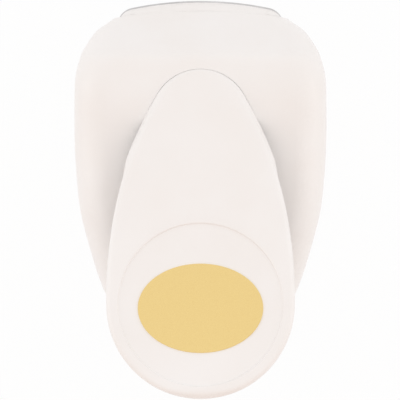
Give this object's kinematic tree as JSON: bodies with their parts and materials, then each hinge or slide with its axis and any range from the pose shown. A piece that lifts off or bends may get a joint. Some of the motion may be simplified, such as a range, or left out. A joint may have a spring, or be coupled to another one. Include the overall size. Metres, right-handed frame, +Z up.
{
  "type": "craft punch",
  "caption": "Lever craft punch: paper goes into the front slot, and pressing the rear pad cuts an oval out of it.",
  "frame": {"origin": "centre of the footprint, on the surface that the punch stands on", "axes": "+Z up, +Y from the paper slot towards the thumb pad, +X across"},
  "size_m": [0.1056, 0.1624, 0.0714],
  "materials": {
    "body_plastic": "satin moulded, warm white",
    "tray_plastic": "satin moulded, warm white",
    "label": "matte gold with a fine grain",
    "plate_steel": "rolled sheet",
    "tool_steel": "ground",
    "pressed_steel": "zinc plated",
    "rivet_steel": "plain",
    "screw_steel": "zinc plated",
    "bright_steel": "ground and polished",
    "clip_steel": "dark spring steel",
    "spring_wire": "drawn wire"
  },
  "bodies": {
    "casing": {"top_shell": "body_plastic", "base_frame": "tray_plastic", "die_plate": "plate_steel", "guide_plate": "plate_steel", "back_stop": "plate_steel", "plate_rivets": "rivet_steel", "die_screws": "screw_steel", "guide_screws": "screw_steel", "shell_screws": "screw_steel", "bracket_screws": "screw_steel", "guide_posts": "bright_steel", "post_clips": "clip_steel", "return_spring_front_left": "spring_wire", "return_spring_front_right": "spring_wire", "return_spring_rear_left": "spring_wire", "return_spring_rear_right": "spring_wire", "hinge_bracket": "pressed_steel", "hinge_pin": "bright_steel", "hinge_clips": "clip_steel"},
    "lever": {"lever_cover": "body_plastic", "lever_frame": "pressed_steel", "pressure_bar": "bright_steel", "bar_clips": "clip_steel", "lever_screws": "screw_steel", "shape_label": "label"},
    "punch": {"punch_block": "tool_steel", "punch_carrier": "pressed_steel", "carrier_screws": "screw_steel"}
  },
  "joints": [
    {"name": "lever_hinge", "type": "hinge", "parent": "casing", "child": "lever", "pos_m": [0, -0.058, 0.03], "axis": [-1, 0, 0], "range_deg": [0, 11], "stiffness_Nm_per_rad": 2.9, "springref_deg": -13.18},
    {"name": "punch_slide", "type": "slide", "parent": "casing", "child": "punch", "axis": [0, 0, -1], "range_m": [0, 0.005], "deforming": ["return_spring_front_left", "return_spring_front_right", "return_spring_rear_left", "return_spring_rear_right"]}
  ],
  "couplings": [
    {"joint": "punch_slide", "follows": "lever_hinge", "m_per_rad": 0.0259}
  ]
}
